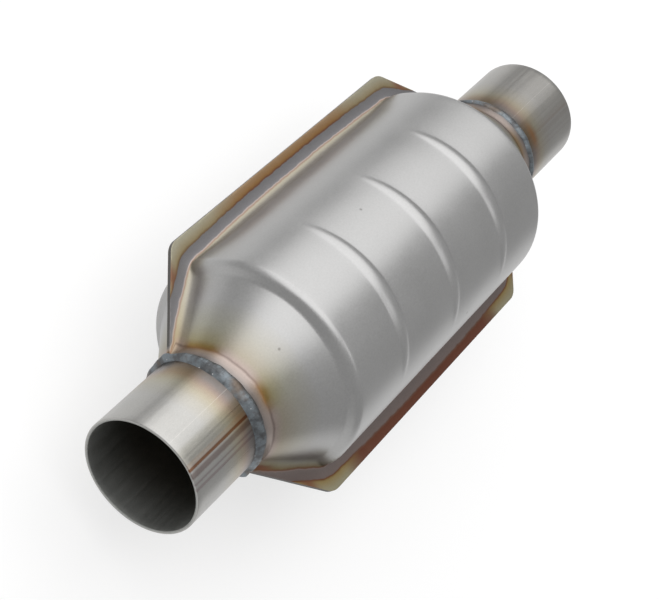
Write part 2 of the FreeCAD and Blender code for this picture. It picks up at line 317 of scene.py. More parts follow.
@dataclass
class Wiring:
    """Adds nodes to a tree and joins them."""

    tree: bpy.types.NodeTree

    def feed(self, socket: Socket, value: object) -> None:
        """Link a socket to another one, or write a plain value into it.

        Args:
            socket: The socket that is fed.
            value: The other socket, or the value.
        """
        if isinstance(value, bpy.types.NodeSocket):
            self.tree.links.new(value, socket)
        else:
            socket.default_value = value

    def add(self, kind: str, feeds: dict[object, object] | None = None, **settings: object) -> bpy.types.Node:
        """Add a node.

        Args:
            kind: The node's type, without its usual prefix.
            feeds: What goes into its inputs, by name or number.
            settings: Its properties.

        Returns:
            The node.
        """
        node = self.tree.nodes.new("ShaderNode" + kind)
        for name, value in settings.items():
            setattr(node, name, value)
        for name, value in (feeds or {}).items():
            self.feed(node.inputs[name], value)
        return node

    def sum(self, operation: str, *values: object) -> Socket:
        """The result of a Math node on one to three values."""
        return self.add("Math", dict(enumerate(values)), operation=operation).outputs[0]

    def product(self, first: object, *others: object) -> Socket:
        """Multiply values together.

        Args:
            first: The first value.
            others: The rest of them.

        Returns:
            Their product.
        """
        for other in others:
            first = self.sum("MULTIPLY", first, other)
        return first

    def scale(self, value: object, low: float, high: float, to_low: float = 0, to_high: float = 1) -> Socket:
        """A value carried smoothly from one range to another, and held inside it."""
        feeds = {0: value, 1: low, 2: high, 3: to_low, 4: to_high}
        return self.add("MapRange", feeds, interpolation_type="SMOOTHSTEP").outputs[0]

    def band(self, value: object, middle: float, half_width: float, soft: float) -> Socket:
        """One inside a band of values and nothing outside, with soft edges."""
        away = self.sum("ABSOLUTE", self.sum("SUBTRACT", value, middle))
        return self.scale(away, half_width - soft, half_width + soft, 1, 0)

    def blend(self, amount: object, first: object, second: object, mode: str = "MIX") -> Socket:
        """Blend two colours.

        Args:
            amount: How much of the second is in it.
            first: The colour underneath.
            second: The colour on top.
            mode: How they are blended.

        Returns:
            The colour.
        """
        node = self.add("Mix", data_type="RGBA", blend_type=mode)
        for number, value in zip((0, 6, 7), (amount, first, second)):
            self.feed(node.inputs[number], (*value, 1) if isinstance(value, tuple) else value)
        return node.outputs[2]

    def tint(self, colour: object, shade: object, amount: object = 1.0) -> Socket:
        """A colour multiplied by a shade or a tone."""
        return self.blend(amount, colour, shade, "MULTIPLY")

    def ramp(self, value: object, stops: ColourRow, span: tuple[float, float]) -> Socket:
        """A colour read off a row of stops.

        Args:
            value: Where to read.
            stops: Place and colour of each stop.
            span: The places of the row's two ends.

        Returns:
            The colour.
        """
        low, high = span
        node = self.add("ValToRGB", {0: self.add("MapRange", {0: value, 1: low, 2: high}).outputs[0]})
        elements = node.color_ramp.elements
        while len(elements) < len(stops):
            elements.new(0.5)
        for element, (place, colour) in zip(elements, stops):
            element.position = (place - low) / (high - low)
            element.color = (*colour, 1)
        return node.outputs[0]

    def clouds(self, place: object, scale: float, detail: float = 3) -> Socket:
        """Soft random tone, at a number of patches per metre."""
        feeds = {"Vector": place, "Scale": scale, "Detail": detail, "Roughness": 0.55}
        return self.add("TexNoise", feeds).outputs[0]

    def waver(self, place: object, scale: float, detail: float = 3) -> Socket:
        """Soft random tone about nothing."""
        return self.sum("SUBTRACT", self.clouds(place, scale, detail), 0.5)


def make_group(
    name: str, inputs: dict[str, float | None], outputs: dict[str, str],
) -> tuple[Wiring, dict[str, Socket], dict[str, Socket]]:
    """An empty node group.

    Args:
        name: The group's name.
        inputs: Name and usual value of each number going in. None stands for a place.
        outputs: Name and kind of what comes out.

    Returns:
        Its wiring, its inputs by name, and the sockets that its outputs are read from.
    """
    tree = bpy.data.node_groups.new(name, "ShaderNodeTree")
    for title, value in inputs.items():
        kind = "NodeSocketVector" if value is None else "NodeSocketFloat"
        socket = tree.interface.new_socket(name=title, in_out="INPUT", socket_type=kind)
        if value is not None:
            socket.default_value = value
    for title, kind in outputs.items():
        tree.interface.new_socket(name=title, in_out="OUTPUT", socket_type="NodeSocket" + kind)
    entry = tree.nodes.new("NodeGroupInput")
    leaving = tree.nodes.new("NodeGroupOutput")
    return Wiring(tree), {s.name: s for s in entry.outputs}, {s.name: s for s in leaving.inputs}


# Degrees round from +Y, and half width, of each patch that the welds' heat has burnt
BURNT_PATCHES: Row = ((27, 17), (96, 12), (-62, 24), (-148, 26), (-108, 8))


class Effects:
    """The surface effects that several finishes share, each one a node group."""

    def __init__(self) -> None:
        """Build every group once."""
        self.stations = self._stations()
        self.mottle = self._mottle()
        self.scratches = self._scratches()
        self.specks = self._specks()
        self.burn = self._burn()

    @staticmethod
    def _stations() -> bpy.types.NodeTree:
        """Where a point is on the converter.

        Returns:
            A group that gives the place, the millimetres from the body's middle, the degrees round from +Y,
            the radius in millimetres, and one on the outlet's half.
        """
        kinds = {"Place": "Vector"} | dict.fromkeys(("Reach", "Angle", "Radius", "Outlet"), "Float")
        wiring, _, out = make_group("Stations", {}, kinds)
        place = wiring.add("TexCoord").outputs["Object"]
        x, y, z = wiring.add("SeparateXYZ", {0: place}).outputs
        along = wiring.sum("MULTIPLY", wiring.sum("SUBTRACT", x, BODY_MIDDLE), 1 / MM)
        radius = wiring.sum("SQRT", wiring.sum("ADD", wiring.sum("POWER", y, 2), wiring.sum("POWER", z, 2)))
        wiring.feed(out["Place"], place)
        wiring.feed(out["Reach"], wiring.sum("ABSOLUTE", along))
        wiring.feed(out["Angle"], wiring.sum("DEGREES", wiring.sum("ARCTAN2", z, y)))
        wiring.feed(out["Radius"], wiring.sum("MULTIPLY", radius, 1 / MM))
        wiring.feed(out["Outlet"], wiring.sum("GREATER_THAN", x, 0.0))
        return wiring.tree

    @staticmethod
    def _mottle() -> bpy.types.NodeTree:
        """The uneven tone of rolled and handled sheet.

        Returns:
            A group that gives a tone about one, and a height for fine bumps.
        """
        inputs = {"Place": None, "Patches": 60, "Spread": 0.1, "Grain": 0.25}
        wiring, given, out = make_group("Mottle", inputs, {"Tone": "Float", "Height": "Float"})
        broad = wiring.add("TexNoise", {"Vector": given["Place"], "Scale": given["Patches"], "Detail": 4.0})
        fine_scale = wiring.sum("MULTIPLY", given["Patches"], 28)
        fine = wiring.add("TexNoise", {"Vector": given["Place"], "Scale": fine_scale, "Detail": 2.0})
        away = wiring.sum("SUBTRACT", broad.outputs[0], 0.5)
        grain = wiring.sum("MULTIPLY_ADD", wiring.sum("SUBTRACT", fine.outputs[0], 0.5), given["Grain"], 1)
        wiring.feed(out["Tone"], wiring.sum("MULTIPLY_ADD", away, given["Spread"], grain))
        wiring.feed(out["Height"], fine.outputs[0])
        return wiring.tree

    @staticmethod
    def _scratches() -> bpy.types.NodeTree:
        """Fine lines drawn along the gas axis.

        Returns:
            A group that gives a line mask of either sign, about nothing.
        """
        wiring, given, out = make_group("Scratches", {"Place": None}, {"Lines": "Float"})
        drawn_out = wiring.add("Mapping", {"Vector": given["Place"], "Scale": (14, 900, 900)}).outputs[0]
        fine = wiring.add("TexNoise", {"Vector": drawn_out, "Scale": 1.0, "Detail": 3.0})
        wiring.feed(out["Lines"], wiring.sum("SUBTRACT", fine.outputs[0], 0.5))
        return wiring.tree

    @staticmethod
    def _specks() -> bpy.types.NodeTree:
        """Small dark pits and spatter, in scattered places.

        Returns:
            A group that gives a mask, one on a speck.
        """
        inputs = {"Place": None, "Spacing": 90, "Size": 0.07, "Share": 0.2}
        wiring, given, out = make_group("Specks", inputs, {"Mask": "Float"})
        cells = wiring.add("TexVoronoi", {"Vector": given["Place"], "Scale": given["Spacing"]})
        chance = wiring.add("SeparateColor", {0: cells.outputs["Color"]}).outputs[0]
        chosen = wiring.sum("LESS_THAN", chance, given["Share"])
        edge = wiring.sum("SUBTRACT", given["Size"], cells.outputs["Distance"])
        dot = wiring.add("MapRange", {0: edge, 1: -0.02, 2: 0.02}).outputs[0]
        wiring.feed(out["Mask"], wiring.sum("MULTIPLY", dot, chosen))
        return wiring.tree

    @staticmethod
    def _burn() -> bpy.types.NodeTree:
        """Where heat from a weld has coloured the steel, and where it has burnt it.

        Returns:
            A group that gives a wavering distance from the weld, and a mask, one where the steel is burnt.
        """
        inputs = {"Place": None, "Angle": 0, "Distance": 0, "Waver": 3}
        wiring, given, out = make_group("Burn", inputs, {"Distance": "Float", "Burnt": "Float"})
        waver = wiring.waver(given["Place"], 75)
        angle = wiring.sum("MULTIPLY_ADD", waver, 14, given["Angle"])
        burnt = None
        for middle, half_width in BURNT_PATCHES:
            patch = wiring.band(angle, middle, half_width, 9)
            burnt = patch if burnt is None else wiring.sum("MAXIMUM", burnt, patch)
        wiring.feed(out["Distance"], wiring.sum("MULTIPLY_ADD", waver, given["Waver"], given["Distance"]))
        wiring.feed(out["Burnt"], burnt)
        return wiring.tree


@dataclass
class Palette:
    """A material under construction, with its shader, its wiring and the shared effects."""

    name: str
    effects: Effects
    wiring: Wiring = field(init=False)
    shader: bpy.types.Node = field(init=False)
    material: bpy.types.Material = field(init=False)
    at: dict[str, Socket] = field(init=False)

    def __post_init__(self) -> None:
        """Make the material with its shader, its output, and where each point is."""
        self.material = bpy.data.materials.new(self.name)
        self.material.use_nodes = True
        self.material.node_tree.nodes.clear()
        self.wiring = Wiring(self.material.node_tree)
        self.shader = self.wiring.add("BsdfPrincipled")
        self.wiring.add("OutputMaterial", {"Surface": self.shader.outputs[0]})
        self.at = self.effect(self.effects.stations)

    def effect(self, tree: bpy.types.NodeTree, **feeds: object) -> dict[str, Socket]:
        """Place a shared effect, at the place of each point.

        Args:
            tree: The effect's group.
            feeds: What else goes into it.

        Returns:
            Its outputs by name.
        """
        node = self.wiring.tree.nodes.new("ShaderNodeGroup")
        node.node_tree = tree
        if "Place" in node.inputs:
            feeds["Place"] = self.at["Place"]
        for name, value in feeds.items():
            self.wiring.feed(node.inputs[name], value)
        return {socket.name: socket for socket in node.outputs}

    def relief(self, height: Socket, depth: float) -> Socket:
        """A normal for a height map whose full range is this deep, in millimetres."""
        feeds = {"Height": height, "Distance": depth * MM, "Strength": 1.0}
        return self.wiring.add("Bump", feeds).outputs[0]


# Finishes

@dataclass(frozen=True)
class HeatColours:
    """The colours that a weld's heat leaves on the steel beside it, by the distance in millimetres."""

    calm: ColourRow
    burnt: ColourRow
    reach: float
    waver: float = 3.0

    def lay_on(self, palette: Palette, distance: Socket, colour: Socket) -> Socket:
        """Colour the steel.

        Args:
            palette: The material.
            distance: Millimetres from the weld's toe.
            colour: The steel's own colour.

        Returns:
            The steel's colour with the heat's in it.
        """
        wire, angle = palette.wiring, palette.at["Angle"]
        heat = palette.effect(palette.effects.burn, Angle=angle, Distance=distance, Waver=self.waver)
        calm, burnt = (wire.ramp(heat["Distance"], row, (0, self.reach)) for row in (self.calm, self.burnt))
        return wire.tint(colour, wire.blend(heat["Burnt"], calm, burnt))


# Heat tint beside the neck welds. Its calm stops at 11 and 18 mm are darker than the straw tint alone:
# painted shade that dims the cone's highlight near the neck.
NECK_HEAT_AND_SHADE = HeatColours(
    calm=(
        (0, (0.60, 0.54, 0.52)), (2.5, (0.84, 0.72, 0.66)), (5.2, (0.92, 0.77, 0.70)),
        (6.4, (0.50, 0.40, 0.36)), (7.4, (0.86, 0.71, 0.64)), (11, (0.84, 0.76, 0.62)),
        (18, (0.93, 0.90, 0.81)), (28, (1.0, 1.0, 1.0)),
    ),
    burnt=(
        (0, (0.48, 0.42, 0.40)), (2.0, (0.66, 0.56, 0.50)), (4.2, (0.78, 0.60, 0.46)),
        (6.0, (0.52, 0.29, 0.11)), (7.6, (0.60, 0.42, 0.16)), (10, (0.78, 0.70, 0.44)),
        (16, (0.92, 0.90, 0.76)), (28, (1.0, 1.0, 1.0)),
    ),
    reach=28,
)
TUBE_HEAT = HeatColours(
    calm=(
        (0, (0.36, 0.33, 0.32)), (3, (0.46, 0.42, 0.41)), (6, (0.64, 0.52, 0.47)),
        (9, (0.82, 0.68, 0.55)), (13, (0.94, 0.86, 0.70)), (18, (0.98, 0.95, 0.88)), (26, (1.0, 1.0, 1.0)),
    ),
    burnt=(
        (0, (0.40, 0.32, 0.25)), (3, (0.51, 0.39, 0.26)), (6, (0.64, 0.49, 0.33)),
        (9, (0.78, 0.68, 0.50)), (13, (0.93, 0.89, 0.74)), (18, (0.98, 0.96, 0.89)), (26, (1.0, 1.0, 1.0)),
    ),
    reach=26,
)


# The seam's colours, by the millimetres out from where the flange begins: pale on the +Y side and dark on the
# -Y side as far as the weld's track, and then each rim's own
SEAM_PALE: ColourRow = (
    (-12.0, (1.00, 1.00, 1.00)), (-7.0, (0.98, 0.94, 0.88)), (-4.0, (0.93, 0.87, 0.74)),
    (-1.8, (0.92, 0.85, 0.68)), (-0.9, (0.74, 0.52, 0.40)), (-0.2, (1.00, 0.86, 0.80)),
    (0.3, (0.50, 0.49, 0.51)), (4.9, (0.48, 0.47, 0.48)),
)
SEAM_DARK: ColourRow = (
    (-12.0, (1.00, 1.00, 1.00)), (-8.0, (0.92, 0.91, 0.86)), (-4.6, (0.80, 0.76, 0.62)),
    (-2.0, (0.52, 0.42, 0.27)), (-0.9, (0.34, 0.18, 0.11)), (-0.2, (0.56, 0.44, 0.40)),
    (0.3, (0.43, 0.36, 0.34)), (4.9, (0.41, 0.33, 0.31)),
)
SEAM_GOLD = SEAM_PALE + ((5.4, (0.42, 0.27, 0.15)), (6.5, (0.66, 0.54, 0.32)), (11.0, (0.86, 0.81, 0.62)))
SEAM_BURNT = SEAM_PALE + ((5.4, (0.38, 0.18, 0.11)), (6.5, (0.60, 0.33, 0.13)), (11.0, (0.78, 0.56, 0.36)))
SEAM_OLIVE = SEAM_DARK + ((5.5, (0.36, 0.15, 0.07)), (6.5, (0.66, 0.50, 0.22)), (11.0, (0.76, 0.70, 0.48)))
SEAM_MAROON = SEAM_DARK + ((5.5, (0.34, 0.19, 0.14)), (6.5, (0.34, 0.13, 0.08)), (11.0, (0.38, 0.16, 0.11)))


@dataclass(frozen=True)
class Finish:
    """What the finishes of the pieces have in common."""

    slot: ClassVar[str] = ""

    def material(self, effects: Effects) -> bpy.types.Material:
        """Build the finish.

        Args:
            effects: The shared effects.

        Returns:
            The material, named for its slot.
        """
        palette = Palette(self.slot + "_finish", effects)
        for name, value in self.surface(palette).items():
            palette.wiring.feed(palette.shader.inputs[name], value)
        return palette.material

    def surface(self, palette: Palette) -> dict[str, object]:
        """What goes into the shader, by the names of its sockets."""
        raise NotImplementedError


@dataclass(frozen=True)
class PressedSheet(Finish):
    """Satin stainless sheet, with the seam weld's track and heat tint along the flanges."""

    slot: ClassVar[str] = "shell_steel"
    steel: Colour = (0.405, 0.403, 0.400)
    roughness: float = 0.37
    neck_weld: float = 138.5
    flange_cool: float = 30.0
    gilt: Colour = (0.25, 0.165, 0.07)
    gilt_angle: Band = (92.0, 14.0, 12.0)
    gilt_distance: Band = (5.0, 1.8, 3.2)
    gilt_share: float = 0.75
    track: Band = (TRACK_MIDDLE, 2.5, 0.25)
    speck: Colour = (0.10, 0.09, 0.08)
    ember: Colour = (0.20, 0.085, 0.055)
    ember_share: float = 0.8
    rim_ember: Band = (110.0, 3.5, 3.5)
    root_ember: Band = (130.0, 4.0, 4.0)
    root_ember_out: Band = (-2.5, 1.7, 1.2)
    rim_change: float = 78.0
    sheared: Colour = (0.11, 0.105, 0.10)
    sheet_edge: float = 1.05

    def surface(self, palette: Palette) -> dict[str, object]:
        """Tint the sheet, with painted shade in the heat tint beside the necks, pit it and dent it a little.

        Args:
            palette: The material.

        Returns:
            What goes into its shader.
        """
        wire, at, effects = palette.wiring, palette.at, palette.effects
        out = wire.add("Attribute", attribute_name="from_root").outputs["Fac"]
        mottle = palette.effect(effects.mottle, Patches=38.0, Spread=0.16)
        distance = wire.sum("SUBTRACT", self.neck_weld, at["Reach"])
        distance = wire.sum("MULTIPLY_ADD", wire.scale(out, -3.0, 3.0), self.flange_cool, distance)
        colour = NECK_HEAT_AND_SHADE.lay_on(palette, distance, wire.tint(self.steel, mottle["Tone"]))
        waver = wire.waver(at["Place"], 190)
        wavering = wire.sum("MULTIPLY_ADD", waver, 3.0, distance)
        gilded = wire.product(
            wire.band(at["Angle"], *self.gilt_angle), wire.band(wavering, *self.gilt_distance),
            at["Outlet"], self.gilt_share,
        )
        colour = wire.blend(gilded, colour, self.gilt)
        seam = wire.sum("MULTIPLY_ADD", waver, 1.5, out)
        colour = self.seam_colours(palette, seam, colour)
        pits = palette.effect(effects.specks, Spacing=75.0, Size=0.055, Share=0.10)["Mask"]
        colour = wire.blend(wire.product(pits, 0.55), colour, self.speck)
        track = wire.band(seam, *self.track)
        height = wire.sum("MULTIPLY_ADD", mottle["Height"], 0.05, wire.product(waver, track, 0.8))
        height = wire.sum("MULTIPLY_ADD", wire.clouds(at["Place"], 26, 1), 1.8, height)
        rough = wire.sum("MULTIPLY_ADD", wire.sum("SUBTRACT", mottle["Tone"], 1), 0.6, self.roughness)
        dull = wire.sum("MAXIMUM", track, wire.scale(out, -16.0, -4.0))
        return {
            "Base Color": colour,
            "Metallic": 1.0,
            "Roughness": wire.sum("MULTIPLY_ADD", dull, 0.12, rough),
            "Normal": palette.relief(height, 0.12),
        }

    def seam_colours(self, palette: Palette, seam: Socket, colour: Socket) -> Socket:
        """The bands of colour from the wall, over the seam weld's track, to the rim and its sheared edge.

        Args:
            palette: The material.
            seam: Millimetres out from where the flange begins.
            colour: The steel's colour.

        Returns:
            The colour with the bands in it.
        """
        wire, reach, place = palette.wiring, palette.at["Reach"], palette.at["Place"]
        _, y, z = wire.add("SeparateXYZ", {0: place}).outputs
        gold, burnt, olive, maroon = (
            wire.ramp(seam, row, (row[0][0], row[-1][0]))
            for row in (SEAM_GOLD, SEAM_BURNT, SEAM_OLIVE, SEAM_MAROON)
        )
        share = wire.sum("MULTIPLY_ADD", reach, 1 / self.rim_change, wire.waver(place, 24, 2))
        left = wire.blend(wire.scale(share, 0.35, 1.0, 1, 0), gold, burnt)
        right = wire.blend(wire.scale(share, 0.75, 1.15, 1, 0), olive, maroon)
        banded = wire.tint(colour, wire.blend(wire.scale(y, -0.02, 0.02, 1, 0), left, right))
        rim = wire.product(wire.band(reach, *self.rim_ember), wire.scale(seam, 5.0, 5.8))
        root = wire.product(
            wire.band(reach, *self.root_ember), wire.band(seam, *self.root_ember_out),
            wire.scale(y, -0.02, 0.0, 1, 0),
        )
        ember = wire.product(wire.sum("MAXIMUM", rim, root), self.ember_share)
        banded = wire.blend(ember, banded, self.ember)
        low = wire.sum("LESS_THAN", wire.sum("ABSOLUTE", z), self.sheet_edge * MM)
        return wire.blend(wire.product(low, wire.sum("GREATER_THAN", seam, 0.5)), banded, self.sheared)


@dataclass(frozen=True)
class DrawnTube(Finish):
    """Drawn and seam-welded stainless tube, with lengthwise lines and heat tint beside its weld."""

    slot: ClassVar[str] = "tube_steel"
    steel: Colour = (0.385, 0.379, 0.364)
    # Painted shade in the bore: its colour deep inside, and near the mouth where it is lightest
    inside: Colour = (0.15, 0.14, 0.12)
    painted_bore_shade: Colour = (0.36, 0.365, 0.35)
    # Painted shade that darkens the whole outlet tube
    outlet_painted_shade: Colour = (0.82, 0.81, 0.80)
    outlet_heat_shift: float = 1.5
    burnt_spot: Colour = (0.26, 0.12, 0.045)
    spot_angle: Band = (99.0, 11.0, 9.0)
    spot_distance: Band = (6.5, 2.0, 3.5)
    spot_share: float = 0.85
    # A scratch along the tubes, painted much lighter than the steel as a highlight
    scratch_highlight: Colour = (0.80, 0.76, 0.72)
    scratch_highlight_angle: Band = (71.0, 0.22, 0.16)
    scratch_highlight_share: float = 0.32
    roughness: float = 0.33
    weld_edge: float = 145.5
    bore_radius: float = 31.0
    seam_lines_and_painted_shade: tuple[tuple[float, float, Colour], ...] = (
        # The first, broad band is painted shade that dims the tube's highlight near its crown; the others are
        # its weld seam and lines.
        (87.5, 7.0, (0.90, 0.89, 0.84)),
        (96.0, 2.2, (0.96, 0.86, 0.78)),
        (99.2, 1.4, (0.52, 0.28, 0.18)),
        (105.0, 2.6, (0.62, 0.54, 0.53)),
        (112.8, 1.0, (0.76, 0.70, 0.72)),
        (118.0, 1.4, (0.80, 0.72, 0.74)),
    )

    def surface(self, palette: Palette) -> dict[str, object]:
        """Tint the tube, draw its lines, paint a highlight along a scratch, and paint shade over the outlet,
        near the crown and down its bore.

        Args:
            palette: The material.

        Returns:
            What goes into its shader.
        """
        wire, at, outlet = palette.wiring, palette.at, palette.at["Outlet"]
        lines = palette.effect(palette.effects.scratches)["Lines"]
        mottle = palette.effect(palette.effects.mottle, Patches=55.0, Spread=0.2)
        tone = wire.sum("MULTIPLY_ADD", lines, 0.22, mottle["Tone"])
        distance = wire.sum("SUBTRACT", at["Reach"], self.weld_edge)
        from_heat = wire.sum("MULTIPLY_ADD", outlet, self.outlet_heat_shift, distance)
        colour = TUBE_HEAT.lay_on(palette, from_heat, wire.tint(self.steel, tone))
        angle = wire.sum("MULTIPLY_ADD", wire.sum("SUBTRACT", mottle["Tone"], 1), 3.0, at["Angle"])
        clearness = wire.sum("MULTIPLY_ADD", outlet, -0.8, 1.0)
        # Lay the seam lines and the band of painted shade, weaker on the outlet.
        for middle, half_width, shade in self.seam_lines_and_painted_shade:
            line = wire.band(angle, middle, half_width, half_width * 0.45)
            colour = wire.tint(colour, shade, wire.product(clearness, line))
        # Painted shade: the outlet tube darkened all over
        colour = wire.tint(colour, self.outlet_painted_shade, outlet)
        spot = wire.product(wire.band(angle, *self.spot_angle), wire.band(distance, *self.spot_distance))
        colour = wire.blend(wire.product(spot, outlet, self.spot_share), colour, self.burnt_spot)
        # A real scratch at 71 degrees round, painted as a bright highlight line
        scratch_highlight = wire.product(wire.band(at["Angle"], *self.scratch_highlight_angle), wire.clouds(at["Place"], 420, 1))
        colour = wire.blend(wire.product(scratch_highlight, self.scratch_highlight_share), colour, self.scratch_highlight)
        # Painted shade down the bore: dark deep inside, lighter towards the mouth
        inner = wire.scale(at["Radius"], self.bore_radius - 0.3, self.bore_radius + 0.3, 1, 0)
        painted_bore_shade = wire.blend(wire.scale(distance, 10.0, 44.0), self.inside, self.painted_bore_shade)
        rough = wire.sum("MULTIPLY_ADD", lines, 0.25, self.roughness)
        return {
            "Base Color": wire.blend(inner, colour, wire.tint(painted_bore_shade, mottle["Tone"])),
            "Metallic": 1.0,
            "Roughness": wire.sum("MULTIPLY_ADD", inner, 0.25, rough),
            "Normal": palette.relief(wire.sum("ADD", lines, mottle["Height"]), 0.025),
        }


@dataclass(frozen=True)
class WeldMetal(Finish):
    """Oxidised weld: blue-grey, patched with dark scale and brown, with a few bright grains."""

    slot: ClassVar[str] = "weld_metal"
    scale_dark: Colour = (0.105, 0.108, 0.112)
    blue_grey: Colour = (0.185, 0.208, 0.225)
    brown: Colour = (0.16, 0.12, 0.09)
    bright: Colour = (0.55, 0.55, 0.55)
    roughness: float = 0.40

    def surface(self, palette: Palette) -> dict[str, object]:
        """Patch the weld with scale and brown.

        Args:
            palette: The material.

        Returns:
            What goes into its shader.
        """
        wire, place = palette.wiring, palette.at["Place"]
        mottle = palette.effect(palette.effects.mottle, Patches=240.0, Spread=1.0, Grain=0.5)
        ripple = wire.add("Attribute", attribute_name="ripple").outputs["Fac"]
        patches = wire.sum("MULTIPLY_ADD", wire.sum("SUBTRACT", ripple, 0.5), 0.08, wire.clouds(place, 160))
        colour = wire.blend(wire.scale(patches, 0.36, 0.60), self.scale_dark, self.blue_grey)
        rust = wire.scale(wire.clouds(place, 55), 0.52, 0.66)
        colour = wire.tint(wire.blend(wire.product(rust, 0.75), colour, self.brown), mottle["Tone"])
        grains = palette.effect(palette.effects.specks, Spacing=700.0, Size=0.20, Share=0.05)["Mask"]
        return {
            "Base Color": wire.blend(grains, colour, self.bright),
            "Metallic": 1.0,
            "Roughness": wire.product(mottle["Tone"], self.roughness),
            "Normal": palette.relief(mottle["Height"], 0.10),
        }


@dataclass(frozen=True)
class CoatedCeramic(Finish):
    """Porous ceramic with a pale washcoat, and painted shade that darkens it down its channels."""

    slot: ClassVar[str] = "brick_ceramic"
    ceramic: Colour = (0.62, 0.56, 0.46)
    # Painted shade deep in the channels
    channel_shade: Colour = (0.16, 0.14, 0.11)

    def surface(self, palette: Palette) -> dict[str, object]:
        """Paint shade into the ceramic by its depth down the channels.

        Args:
            palette: The material.

        Returns:
            What goes into its shader.
        """
        wire = palette.wiring
        mottle = palette.effect(palette.effects.mottle, Patches=120.0, Spread=0.35)
        depth = wire.add("Attribute", attribute_name="depth").outputs["Fac"]
        colour = wire.blend(wire.scale(depth, 0.1, 4), self.ceramic, self.channel_shade)
        return {
            "Base Color": wire.tint(colour, mottle["Tone"]),
            "Roughness": wire.product(mottle["Tone"], 0.9),
            "Normal": palette.relief(mottle["Height"], 0.08),
        }


@dataclass(frozen=True)
class PressedFibre(Finish):
    """Off-white fibre mat with glinting mica flakes."""

    slot: ClassVar[str] = "fibre_mat"
    fibre: Colour = (0.80, 0.78, 0.72)
    flake: Colour = (0.55, 0.47, 0.30)

    def surface(self, palette: Palette) -> dict[str, object]:
        """Scatter the flakes over the fibre.

        Args:
            palette: The material.

        Returns:
            What goes into its shader.
        """
        wire = palette.wiring
        mottle = palette.effect(palette.effects.mottle, Patches=150.0, Spread=0.3)
        flakes = palette.effect(palette.effects.specks, Spacing=450.0, Size=0.25, Share=0.35)["Mask"]
        return {
            "Base Color": wire.blend(flakes, wire.tint(self.fibre, mottle["Tone"]), self.flake),
            "Roughness": wire.sum("MULTIPLY_ADD", flakes, -0.5, 0.95),
            "Normal": palette.relief(mottle["Height"], 0.2),
        }


@dataclass(frozen=True)
class KnittedWire(Finish):
    """Stainless wire, knitted and squeezed into a ring."""

    slot: ClassVar[str] = "wire_mesh"
    strand: Colour = (0.50, 0.49, 0.47)
    # Painted shade in the gaps between the strands
    gap: Colour = (0.10, 0.10, 0.10)

    def surface(self, palette: Palette) -> dict[str, object]:
        """Knit the strands, with painted shade in the gaps between them.

        Args:
            palette: The material.

        Returns:
            What goes into its shader.
        """
        wire = palette.wiring
        mottle = palette.effect(palette.effects.mottle, Patches=300.0, Spread=0.9)
        feeds = {"Vector": palette.at["Place"], "Scale": 900.0}
        gaps = wire.add("TexVoronoi", feeds, feature="DISTANCE_TO_EDGE").outputs[0]
        strand = wire.scale(gaps, 0.02, 0.25)
        return {
            "Base Color": wire.blend(strand, self.gap, wire.tint(self.strand, mottle["Tone"])),
            "Metallic": 1.0,
            "Roughness": wire.product(mottle["Tone"], 0.4),
            "Normal": palette.relief(strand, 0.3),
        }


@dataclass(frozen=True)
class PaleFloor:
    """Studio floor, white round the converter and pale grey further off, that keeps a soft shadow."""

    white: Colour = (1.0, 1.0, 1.0)
    grey: Colour = (0.50, 0.50, 0.50)
    middle: Place = (0.12, -0.04, 0.0)
    near: float = 0.37
    far: float = 0.80
    glow_share: float = 0.62

    def material(self) -> bpy.types.Material:
        """Build the finish.

        Returns:
            The material.
        """
        material = bpy.data.materials.new("studio_floor_finish")
        material.use_nodes = True
        material.node_tree.nodes.clear()
        wire = Wiring(material.node_tree)
        place = wire.add("TexCoord").outputs["Object"]
        away = wire.add("VectorMath", {0: place, 1: self.middle}, operation="DISTANCE").outputs["Value"]
        tone = wire.blend(wire.scale(away, self.near, self.far), self.white, self.grey)
        paper = wire.add("BsdfDiffuse", {"Color": tone})
        glow = wire.add("Emission", {"Color": tone, "Strength": 1.0})
        rays = wire.add("LightPath").outputs
        seen = wire.sum("MAXIMUM", rays["Is Camera Ray"], rays["Is Glossy Ray"])
        seen = wire.sum("MAXIMUM", seen, rays["Is Transmission Ray"])
        feeds = {0: wire.product(seen, self.glow_share), 1: paper.outputs[0], 2: glow.outputs[0]}
        mix = wire.add("MixShader", feeds)
        wire.add("OutputMaterial", {"Surface": mix.outputs[0]})
        return material


# Pieces

def hand_over(piece: Piece, finish: bpy.types.Material, node: str) -> None:
    """Dress a finished piece, hang it on the root body and hide the CAD node that it replaces.

    Args:
        piece: The finished piece.
        finish: Its material.
        node: The CAD node that it replaces.
    """
    piece.data.materials.clear()
    piece.data.materials.append(finish)
    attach(piece, "root")
    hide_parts(node)
    LOG.info("%s: %d faces", piece.name, len(piece.data.polygons))


